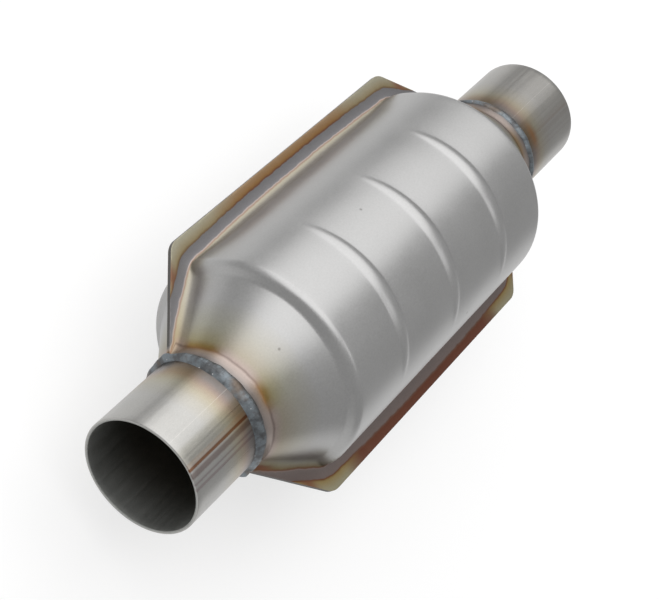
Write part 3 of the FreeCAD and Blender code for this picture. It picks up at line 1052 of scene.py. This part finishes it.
@dataclass
class HalfShells:
    """The two pressed halves of the body, in millimetres from the body's middle."""

    sheet: float = 1.2
    barrel_radius: float = 60
    barrel_end: float = 96.8
    shoulder_end: float = 100
    shoulder_radius: float = 54
    cone_end: float = 132.5
    neck_radius: float = 33.35
    neck_end: float = 141.5
    shoulder_bend: float = 5
    shoulder_root: float = 4
    neck_root: float = 6
    foot_rise: float = 6.0
    flange_half_width: float = 74.0
    corner_reach: float = 98.9
    tip_reach: float = 138.4
    tip_width: float = 33.65
    corner_round: float = 10
    corner_start: float = 90
    corner_steps: int = 8
    bead_places: tuple[float, ...] = (-53, 0, 53)
    bead_half_width: float = 4.5
    bead_height: float = 1.18
    bead_axis_rise: float = 3.2
    bead_blend: float = 0.16
    bead_margin: float = 3
    bead_steps: int = 11
    station_stride: float = 3.2
    foot_flare: Row = (
        (0, -0.2), (60, -0.2), (75, 0.0), (85, 0.6), (94, 0.8), (100, 0.3), (104, 0.0),
    )
    foot_fade: tuple[float, float] = (7.2, 22)
    root_line: Row = (
        (0, 63.9), (20, 63.9), (40, 63.6), (60, 63.1), (75, 62.4), (85, 62.0), (92, 61.8), (96, 61.2),
        (98.6, 59.9), (103.1, 57.0), (110.9, 52.2), (118.5, 47.9), (124.1, 44.3), (129.7, 40.3),
        (134, 36.9), (137, 34.9), (141.5, 33.9),
    )
    root_window: tuple[float, ...] = (-2.4, -1.2, 0, 1.2, 2.4)
    root_slip: Row = (
        (0, 0.0), (94, 0.0), (100, 1.3), (104, 2.1), (130, 2.3), (136, 1.0), (141.5, 0.0),
    )
    root_fall: float = 1.35
    track_depth: float = 0.14
    track_half_width: float = 2.6
    rim_round: float = 0.22
    joined_points: float = 0.05
    turn_steps: int = 96
    root_steps: int = 5
    flange_stride: float = 1.05
    flange_strides: int = 17

    def half_line(self) -> list[Vector]:
        """The body's outside from its middle to the end of a neck."""
        return rounded_path([
            (0, self.barrel_radius, 0),
            (self.barrel_end, self.barrel_radius, self.shoulder_bend),
            (self.shoulder_end, self.shoulder_radius, self.shoulder_root),
            (self.cone_end, self.neck_radius, self.neck_root),
            (self.neck_end, self.neck_radius, 0),
        ])

    def stations(self) -> list[Vector]:
        """The whole outline from neck to neck, closely divided where the beads come.

        Returns:
            Its places.
        """
        half = self.half_line()
        whole = [Vector((-p.x, p.y)) for p in reversed(half)] + half[1:]
        divided = [whole[0]]
        for before, after in zip(whole, whole[1:]):
            span = after - before
            steps = max(1, round(span.length / self.station_stride))
            divided += [before + span * step / steps for step in range(1, steps + 1)]
        near = self.bead_half_width + self.bead_margin
        plain = [p for p in divided if all(abs(p.x - bead) > near + 1 for bead in self.bead_places)]
        close = [
            Vector((bead + near * step / self.bead_steps, self.barrel_radius))
            for bead in self.bead_places for step in range(-self.bead_steps, self.bead_steps + 1)
        ]
        return sorted(plain + close, key=lambda p: p.x)

    def root(self, along: float) -> float:
        """How far out the flange begins, rounded off a little along the body.

        Args:
            along: A place along the body.

        Returns:
            The distance from the gas axis.
        """
        reaches, outs = zip(*self.root_line)
        near = [abs(abs(along) + step) for step in self.root_window]
        return float(np.mean(np.interp(near, reaches, outs)))

    def build(self) -> list[Made]:
        """Press the upper half, then turn a copy over for the lower one.

        Returns:
            The two halves.
        """
        outline = [Vector((p.x * MM, p.y * MM, 0)) for p in self.stations()]
        upper = draw_wire("pressed_upper_shell", outline)
        turn_up(upper, self.turn_steps, 180)
        foot = (self.sheet + self.foot_rise) * MM
        with editing(upper):
            cut_through((0, 0, foot), (0, 0, 1), clear_inner=True)
        press(upper, self.raise_beads)
        press(upper, self.flare_foot)
        with editing(upper):
            for side in (-1, 1):
                self.roll_root(upper, side, foot)
                for _ in range(self.flange_strides):
                    step = (0, side * self.flange_stride * MM, 0)
                    bpy.ops.mesh.extrude_region_move(TRANSFORM_OT_translate={"value": step})
        self.trim_flanges(upper)
        face_outwards(upper)
        if max(upper.data.polygons, key=lambda face: face.center.z).normal.z < 0:
            with editing(upper):
                bpy.ops.mesh.flip_normals()
        modify(upper, "SOLIDIFY", thickness=self.sheet * MM, offset=-1.0, use_even_offset=True)
        round_edges(upper, self.rim_round, 2)
        self.mark_root(upper)
        press(upper, self.sink_track)
        smooth(upper)
        lower = turned_copy(upper, "pressed_lower_shell", "Y")
        for half in (upper, lower):
            slide(half, BODY_MIDDLE)
        return [(upper, "shell_steel", "upper_shell"), (lower, "shell_steel", "lower_shell")]

    def raise_beads(self, place: Vector) -> Vector:
        """The stiffening beads, highest at the crown and fading into the flanks.

        Args:
            place: A point's place on the plain barrel.

        Returns:
            Its place on the beaded one.
        """
        away = min(abs(place.x / MM - bead) for bead in self.bead_places)
        if away > self.bead_half_width + self.bead_margin + 0.5:
            return place
        _, angle = polar(place)
        crest = self.barrel_radius + self.bead_height - self.bead_axis_rise
        lift = self.bead_axis_rise * math.sin(angle)
        lift += math.sqrt(crest ** 2 - (self.bead_axis_rise * math.cos(angle)) ** 2) - self.barrel_radius
        section = (self.bead_half_width ** 2 + self.bead_height ** 2) / (2 * self.bead_height)
        lift -= away ** 2 / (2 * section)
        lift = (lift + math.hypot(lift, self.bead_blend)) / 2 if lift > -1.2 else 0
        return place + Vector((0, math.cos(angle), math.sin(angle))) * lift * MM

    def flare_foot(self, place: Vector) -> Vector:
        """Spread the lower wall a little where it comes down to the flange.

        Args:
            place: A point's place on the wall.

        Returns:
            Its place on the spread one.
        """
        low, high = self.foot_fade
        fade = min(max((place.z / MM - low) / (high - low), 0), 1)
        share = 1 - fade * fade * (3 - 2 * fade)
        flare = float(np.interp(abs(place.x) / MM, *zip(*self.foot_flare)))
        return place + Vector((0, math.copysign(1, place.y) * flare * share * MM, 0))

    def outward(self, along: float) -> Vector:
        """Find the direction square to the flange's beginning.

        Args:
            along: A place along the body.

        Returns:
            The direction, on the side of +Y.
        """
        step = 0.5
        fall = self.root(abs(along) - step) - self.root(abs(along) + step)
        slope = math.atan2(fall, 2 * step)
        return Vector((math.copysign(math.sin(slope), along), math.cos(slope)))

    def roll_root(self, piece: Piece, side: int, foot: float) -> None:
        """Bend the foot of the wall outwards to where the flange begins.

        Args:
            piece: The half in edit mode.
            side: The sign of Y.
            foot: Height of the wall's foot.
        """
        def at_foot(edge: bmesh.types.BMEdge) -> bool:
            """Whether an edge lies along the foot on this side."""
            return all(abs(p.co.z - foot) < 0.01 * MM and p.co.y * side > 0 for p in edge.verts)

        def key(place: Vector) -> tuple[int, ...]:
            """A place as whole numbers, to look it up by."""
            return tuple(round(c / (0.0001 * MM)) for c in place)

        pick(piece, Element.EDGES, at_foot)
        form = bmesh.from_edit_mesh(piece.data)
        feet = {}
        for point in (p for p in form.verts if p.select):
            start = point.co.copy()
            reach = abs(start.x) / MM
            reach += float(np.interp(reach, *zip(*self.root_slip)))
            root = Vector((math.copysign(reach, start.x), side * self.root(reach)))
            feet[key(start)] = (start, root - start.xy / MM)
        for step in range(1, self.root_steps + 1):
            turn = math.pi / 2 * step / self.root_steps
            bpy.ops.mesh.extrude_region_move()
            form = bmesh.from_edit_mesh(piece.data)
            moved = {}
            for point in (p for p in form.verts if p.select):
                start, way = feet[key(point.co)]
                high = min(way.length * self.root_fall, self.foot_rise)
                out = way * (1 - math.cos(turn)) * MM
                down = (self.foot_rise - high + high * math.sin(turn)) * MM
                point.co = start + Vector((out.x, out.y, -down))
                moved[key(point.co)] = (start, way)
            feet = moved
            bmesh.update_edit_mesh(piece.data)

    def trim_flanges(self, piece: Piece) -> None:
        """Cut the flanges to their outline, with rounded corners.

        Args:
            piece: The half, with flanges wider than they are to be.
        """
        low = (self.sheet + self.foot_rise + 0.2) * MM
        corner = Vector((self.corner_reach, self.flange_half_width))
        along_cut = (Vector((self.tip_reach, self.tip_width)) - corner).normalized()
        across = Vector((-along_cut.y, along_cut.x))
        rim_turn, cut_turn = math.pi / 2, math.atan2(across.y, across.x)
        inset = math.tan((rim_turn - cut_turn) / 2) * self.corner_round
        centre = corner - Vector((inset, self.corner_round))
        with editing(piece):
            for side in (-1, 1):
                bpy.ops.mesh.select_all(action="SELECT")
                rim = (0, side * self.flange_half_width * MM, 0)
                cut_through(rim, (0, side, 0), clear_outer=True)
                for end in (-1, 1):
                    bpy.ops.mesh.select_all(action="SELECT")
                    tip = (end * self.tip_reach * MM, 0, 0)
                    cut_through(tip, (end, 0, 0))
                    corner_zone = (self.corner_start * MM, self.tip_reach * MM)
                    for step in range(self.corner_steps + 1):
                        turn = rim_turn + (cut_turn - rim_turn) * step / self.corner_steps
                        way = Vector((math.cos(turn), math.sin(turn)))
                        touch = (centre + way * self.corner_round) * MM
                        self.cut_faces(piece, side, end, low, corner_zone, touch, way)
                    beside_neck, out = Vector((0, self.tip_width * MM)), Vector((0, 1))
                    self.cut_faces(piece, side, end, low, (corner_zone[1], 1.0), beside_neck, out)
            bpy.ops.mesh.select_all(action="SELECT")
            bpy.ops.mesh.remove_doubles(threshold=self.joined_points * MM)

    @staticmethod
    def cut_faces(
        piece: Piece, side: int, end: int, low: float, reach: tuple[float, float], touch: Vector, way: Vector,
    ) -> None:
        """Cut away what lies past an upright plane, at one corner of one flange.

        Args:
            piece: The half in edit mode.
            side: The sign of Y.
            end: The sign of X.
            low: Faces above this height are left alone.
            reach: The faces' least and greatest distance along the body.
            touch: A place on the plane.
            way: The plane's outward direction.
        """
        def in_corner(face: bmesh.types.BMFace) -> bool:
            """Whether a face is in the corner that is being cut."""
            middle = face.calc_center_median()
            return middle.z < low and middle.y * side > 0 and reach[0] < middle.x * end < reach[1]

        pick(piece, Element.FACES, in_corner)
        cut_through((touch.x * end, touch.y * side, 0), (way.x * end, way.y * side, 0), clear_outer=True)

    def mark_root(self, piece: Piece) -> None:
        """Write how far out each point is from where the flange begins, less its height above the flange.

        Args:
            piece: The half, with its wall and its flanges.
        """
        count = len(piece.data.vertices)
        places = np.empty(count * 3)
        piece.data.vertices.foreach_get("co", places)
        x, y, z = places.reshape(-1, 3).T / MM
        here = np.stack([np.abs(x), np.abs(y)], 1)
        line = np.array([(reach, self.root(reach)) for reach in np.arange(0, self.neck_end + 2, 1.5)])
        nearest = np.full(count, 1e9)
        for start, stop in zip(line, line[1:]):
            span = stop - start
            share = np.clip(((here - start) @ span) / (span @ span), 0, 1)
            away = np.linalg.norm(here - start - share[:, None] * span, axis=1)
            nearest = np.minimum(nearest, away)
        inside = here[:, 1] < np.interp(here[:, 0], line[:, 0], line[:, 1])
        out = np.where(inside, -nearest, nearest) - np.maximum(z - self.sheet, 0)
        mark(piece, "from_root", out.astype(np.float32))

    def sink_track(self, place: Vector) -> Vector:
        """The shallow track that the seam welder's wheels leave in the flange's upper face.

        Args:
            place: A point's place on the plain flange.

        Returns:
            Its place on the welded one.
        """
        x, y, z = place / MM
        if z < self.sheet - 0.3 or z > self.sheet + 0.2 or abs(y) < self.tip_width:
            return place
        out = (abs(y) - self.root(x)) * self.outward(x).y
        depth = max(0.0, 1 - ((out - TRACK_MIDDLE) / self.track_half_width) ** 2)
        return place - Vector((0, 0, self.track_depth * math.sqrt(depth) * MM))


@dataclass
class EndTube:
    """A straight tube welded into one end, in millimetres from the frame's origin."""

    end: End
    name: str
    node: str
    rim: float
    inner_end: float
    outside_radius: float = 31.75
    wall: float = 1.6
    rim_round: float = 0.4
    facets: int = 144
    first_ring: float = 4
    ring_stride: float = 6

    def build(self) -> list[Made]:
        """Cut the tube to length, give it its wall and dress its rim.

        Returns:
            The tube.
        """
        clear_bench()
        start, stop = sorted((self.rim * self.end.value, self.inner_end * self.end.value))
        bpy.ops.mesh.primitive_cylinder_add(
            vertices=self.facets, radius=self.outside_radius * MM, depth=(stop - start) * MM,
            end_fill_type="NOTHING", location=((start + stop) / 2 * MM, 0, 0), rotation=(0, math.pi / 2, 0),
        )
        tube = named(self.name)
        with editing(tube):
            for place in np.arange(start + self.first_ring, stop, self.ring_stride):
                bpy.ops.mesh.select_all(action="SELECT")
                cut_through((place * MM, 0, 0), (1, 0, 0))
        face_outwards(tube)
        modify(tube, "SOLIDIFY", thickness=self.wall * MM, offset=-1.0, use_even_offset=True)
        round_edges(tube, self.rim_round, 3)
        smooth(tube, 40)
        return [(tube, "tube_steel", self.node)]


@dataclass
class NeckWeld:
    """The rippled weld bead between a tube and the necks of the half shells, in millimetres."""

    end: End
    name: str
    node: str
    middle: float = 139.8
    toe_radius: float = 31.7
    crown_rise: float = 1.2
    toe_wander: float = 0.5
    ripples: int = 74
    steps_per_ripple: int = 6
    ripple_height: float = 0.07
    ripple_lead: float = 142
    ripple_bow: float = 3.6
    unevenness: float = 0.35
    lump_height: float = 0.35
    heap_height: float = 1.3
    heap_spread: float = 0.11
    narrowing: float = 0.62
    narrow_spread: float = 0.60
    ripple_patches: float = 90
    lump_patches: float = 170
    wander_patches: float = 6

    def section(self) -> list[Vector]:
        """The bead's section, from its toe on the neck over its crown to its toe on the tube.

        Returns:
            The section's places, in metres.
        """
        crown = [
            (138.2, 33.1), (138.6, 33.6), (139.3, 34.05), (140.2, 34.35), (141.2, 34.4), (142.2, 34.2),
            (143.1, 33.8), (144.0, 33.2), (144.8, 32.6), (145.5, 32.0), (145.9, 31.6),
        ]
        root = [(145.4, 31.3), (143.4, 31.3), (141.4, 31.9), (139.4, 32.6)]
        return [Vector((reach * MM, radius * MM, 0)) for reach, radius in crown + root]

    def build(self) -> list[Made]:
        """Turn up the bead and set its ripples.

        Returns:
            The bead.
        """
        bead = draw_wire(self.name, self.section(), closed=True)
        turn_up(bead, self.ripples * self.steps_per_ripple)
        mark(bead, "ripple", [self.ripple(point.co) for point in bead.data.vertices])
        press(bead, self.set_ripples)
        smooth(bead, 60)
        if self.end is End.INLET:
            with editing(bead):
                bpy.ops.transform.rotate(value=math.pi, orient_axis="Z", center_override=(0, 0, 0))
        slide(bead, BODY_MIDDLE)
        return [(bead, "weld_metal", self.node)]

    def ripple(self, place: Vector) -> float:
        """How high a point is on its ripple.

        Args:
            place: The point's place.

        Returns:
            Its height, from nothing to one.
        """
        lag = ((place.x / MM - self.ripple_lead) / self.ripple_bow) ** 2 * 0.5
        uneven = self.unevenness * noise.noise(place * self.ripple_patches)
        phase = polar(place)[1] / math.tau * self.ripples + lag + uneven
        return 1 - (phase % 1) ** 1.6

    def set_ripples(self, place: Vector) -> Vector:
        """Raise the ripples, let the toes wander, and narrow and heap the bead beside the flanges' tips.

        Args:
            place: A point's place on the plain bead.

        Returns:
            Its place on the rippled one.
        """
        radius, angle = polar(place)
        crown = min(max((radius / MM - self.toe_radius) / self.crown_rise, 0), 1)
        narrow = self.narrowing * math.exp(-(math.sin(angle) / self.narrow_spread) ** 2)
        heap = self.heap_height * math.exp(-(math.sin(angle) / self.heap_spread) ** 2)
        lump = self.lump_height * noise.noise(place * self.lump_patches)
        lift = crown * (self.ripple_height * (self.ripple(place) - 0.6) + lump + heap)
        round_place = Vector((math.cos(angle), math.sin(angle), 3)) * self.wander_patches
        wander = self.toe_wander * noise.noise(round_place)
        factor = 1 + lift * MM / radius
        along = place.x - narrow * (place.x - self.middle * MM) + wander * crown * MM
        return Vector((along, place.y * factor, place.z * factor))


@dataclass
class Catalyst:
    """One coated ceramic brick in its fibre mat, with a wire mesh seal at each end, in millimetres."""

    name: str
    start: float
    length: float = 88
    radius: float = 52.85
    shell_bore: float = 58.5
    seal: float = 5
    pitch: float = 1.8
    web: float = 0.17
    channel_depth: float = 9
    skin: float = 0.8
    clearance: float = 0.05
    edge_round: float = 0.6
    mat_gap: float = 0.6
    mat_facets: int = 120
    seal_facets: int = 300
    seal_loops: int = 75
    loop_depth: float = 0.12

    def brick(self) -> Piece:
        """The ceramic, with a grid of square channels in both faces.

        Returns:
            The brick.
        """
        cells = 2 * math.ceil(self.radius / self.pitch)
        clear_bench()
        bpy.ops.mesh.primitive_grid_add(
            x_subdivisions=cells, y_subdivisions=cells, size=cells * self.pitch * MM,
            rotation=(0, -math.pi / 2, 0),
        )
        brick = named("honeycomb_%s_brick" % self.name)
        limit = (self.radius - self.skin) * MM
        half = self.length / 2
        with editing(brick):
            pick(brick, Element.FACES, lambda face: any(p.co.length > limit for p in face.verts))
            bpy.ops.mesh.delete(type="FACE")
            pick(brick, Element.EDGES, lambda edge: edge.is_boundary)
            bpy.ops.mesh.extrude_region_move()
            form = bmesh.from_edit_mesh(brick.data)
            for point in (p for p in form.verts if p.select):
                point.co *= self.radius * MM / point.co.length
            bmesh.update_edit_mesh(brick.data)
            bpy.ops.mesh.extrude_region_move(TRANSFORM_OT_translate={"value": (half * MM, 0, 0)})
            pick(brick, Element.FACES, lambda face: self.is_channel(face, limit))
            bpy.ops.mesh.inset(thickness=self.web / 2 * MM, use_individual=True, use_even_offset=True)
            inwards = {"value": (self.channel_depth * MM, 0, 0)}
            bpy.ops.mesh.extrude_region_move(TRANSFORM_OT_translate=inwards)
        slide(brick, -half * MM)
        modify(brick, "MIRROR", use_axis=(True, False, False), use_clip=False, merge_threshold=0.01 * MM)
        face_outwards(brick)
        mark(brick, "depth", [half - abs(point.co.x / MM) for point in brick.data.vertices])
        slide(brick, (self.start + half) * MM + BODY_MIDDLE)
        return brick

    def is_channel(self, face: bmesh.types.BMFace, limit: float) -> bool:
        """Whether a face of the grid becomes a channel."""
        flat = all(abs(point.co.x) < SAME_PLACE for point in face.verts)
        return flat and all(point.co.length < limit for point in face.verts)

    def ring(self, name: str, start: float, length: float, gap: float, steps: int) -> Piece:
        """A round-edged ring between the brick and the shell.

        Args:
            name: The piece's name.
            start: Where it begins along the body.
            length: Its length along the body.
            gap: Degrees left open for its joint.
            steps: How many facets it has round its turn.

        Returns:
            The ring.
        """
        inner, outer = self.radius + self.clearance, self.shell_bore - self.clearance
        edge = self.edge_round
        corners = [
            (start + edge, inner), (start + length - edge, inner), (start + length, inner + edge),
            (start + length, outer - edge), (start + length - edge, outer), (start + edge, outer),
            (start, outer - edge), (start, inner + edge),
        ]
        ring = draw_wire(name, [Vector((a * MM, r * MM, 0)) for a, r in corners], closed=True)
        turn_up(ring, steps, 360 - gap)
        if gap:
            with editing(ring):
                pick(ring, Element.EDGES, lambda line: line.is_boundary)
                bpy.ops.mesh.edge_face_add()
            face_outwards(ring)
        return ring

    def build(self) -> list[Made]:
        """Make the brick, its mat and its two seals.

        Returns:
            The four pieces.
        """
        end = self.start + self.length - self.seal
        mat = self.ring(
            "joined_%s_mat" % self.name, self.start + self.seal, self.length - 2 * self.seal, self.mat_gap,
            self.mat_facets,
        )
        slide(mat, BODY_MIDDLE)
        smooth(mat)
        brick = self.brick()
        made = [(brick, "brick_ceramic", self.name + "_brick"), (mat, "fibre_mat", self.name + "_mat")]
        for side, start in (("inlet_side", self.start), ("outlet_side", end)):
            node = "%s_%s_seal" % (self.name, side)
            seal = self.ring("knitted_" + node, start, self.seal, 0, self.seal_facets)
            press(seal, self.knit)
            slide(seal, BODY_MIDDLE)
            smooth(seal, 70)
            made.append((seal, "wire_mesh", node))
        return made

    def knit(self, place: Vector) -> Vector:
        """Let the loops of a seal's wire stand in and out of its faces.

        Args:
            place: A point's place on the plain ring.

        Returns:
            Its place on the knitted one.
        """
        radius, angle = polar(place)
        middle = (self.radius + self.shell_bore) / 2 * MM
        wave = 0.5 - 0.5 * math.cos(angle * self.seal_loops)
        drawn = middle + (radius - middle) * (1 - self.loop_depth * wave)
        return Vector((place.x, place.y * drawn / radius, place.z * drawn / radius))


# Studio

@dataclass(frozen=True)
class Lamp:
    """A soft rectangular lamp."""

    name: str
    place: Place
    facing: Place
    roll: float
    size: tuple[float, float]
    brightness: float

    def hang(self) -> None:
        """Put the lamp up. Its power gives its face the brightness asked for."""
        lamp = bpy.data.lights.new(self.name, "AREA")
        lamp.shape = "RECTANGLE"
        lamp.size, lamp.size_y = self.size
        lamp.energy = self.brightness * math.pi * self.size[0] * self.size[1]
        holder = bpy.data.objects.new(self.name, lamp)
        holder.location = self.place
        turn = Vector(self.facing).to_track_quat("-Z", "Y").to_matrix()
        holder.rotation_euler = (turn @ Matrix.Rotation(math.radians(self.roll), 3, "Z")).to_euler()
        holder.visible_camera = False
        bpy.context.scene.collection.objects.link(holder)


@dataclass
class Studio:
    """Floor, lamps, surroundings and camera, in metres but for the lens and its sensor."""

    floor_height: float = -0.0613
    floor_size: float = 30
    surroundings: Colour = (0.54, 0.54, 0.54)
    lamps: tuple[Lamp, ...] = (
        Lamp("overhead_softbox", (0.285, 0.495, 1.021), (0, -0.643, -0.766), 18.7, (2.5, 1.74), 1.40),
        Lamp("side_softbox", (0.26, -0.54, 1.10), (-0.21, 0.43, -0.88), 0, (0.42, 0.44), 1.15),
    )
    camera_place: Place = (-0.7071, 0.1840, 0.6689)
    camera_aim: Place = (-0.03006, -0.00113, 0.0)
    picture_up: Place = (0.49427, 0.82573, 0.27180)
    lens: float = 102.862
    sensor_width: float = 36

    def build(self) -> None:
        """Lay the floor, light it and set the camera."""
        clear_bench()
        bpy.ops.mesh.primitive_plane_add(size=self.floor_size, location=(0, 0, self.floor_height))
        floor = named("studio_floor")
        floor.data.materials.append(PaleFloor().material())
        for lamp in self.lamps:
            lamp.hang()
        world = bpy.data.worlds.new("studio_surroundings")
        world.use_nodes = True
        world.node_tree.nodes["Background"].inputs["Color"].default_value = (*self.surroundings, 1)
        bpy.context.scene.world = world
        self.set_camera()
        bpy.context.scene.view_settings.view_transform = "Standard"

    def set_camera(self) -> None:
        """Stand the camera where the photograph was taken from."""
        camera = bpy.data.cameras.new("photo_camera")
        camera.lens = self.lens
        camera.sensor_width = self.sensor_width
        holder = bpy.data.objects.new("photo_camera", camera)
        back = (Vector(self.camera_place) - Vector(self.camera_aim)).normalized()
        right = Vector(self.picture_up).cross(back).normalized()
        up = back.cross(right)
        turn = Matrix((right, up, back)).transposed()
        holder.matrix_world = Matrix.Translation(self.camera_place) @ turn.to_4x4()
        bpy.context.scene.collection.objects.link(holder)
        bpy.context.scene.camera = holder


def main() -> None:
    """Build the studio, make every piece and hand each one over to the frame."""
    logging.basicConfig(level=logging.INFO, format="%(name)s %(message)s")
    Studio().build()
    effects = Effects()
    kinds = (PressedSheet, DrawnTube, WeldMetal, CoatedCeramic, PressedFibre, KnittedWire)
    finishes = {kind.slot: kind().material(effects) for kind in kinds}
    for work in (
        HalfShells(),
        EndTube(End.INLET, "drawn_inlet_tube", "inlet_pipe", 194.45, 132.15),
        EndTube(End.OUTLET, "drawn_outlet_tube", "outlet_pipe", 194.45, 126.85),
        NeckWeld(End.INLET, "rippled_inlet_weld", "inlet_weld_bead"),
        NeckWeld(End.OUTLET, "rippled_outlet_weld", "outlet_weld_bead"),
        Catalyst("front", -94),
        Catalyst("rear", 6),
    ):
        for piece, slot, node in work.build():
            hand_over(piece, finishes[slot], node)
    clear_bench()


if __name__ == "__main__":
    main()
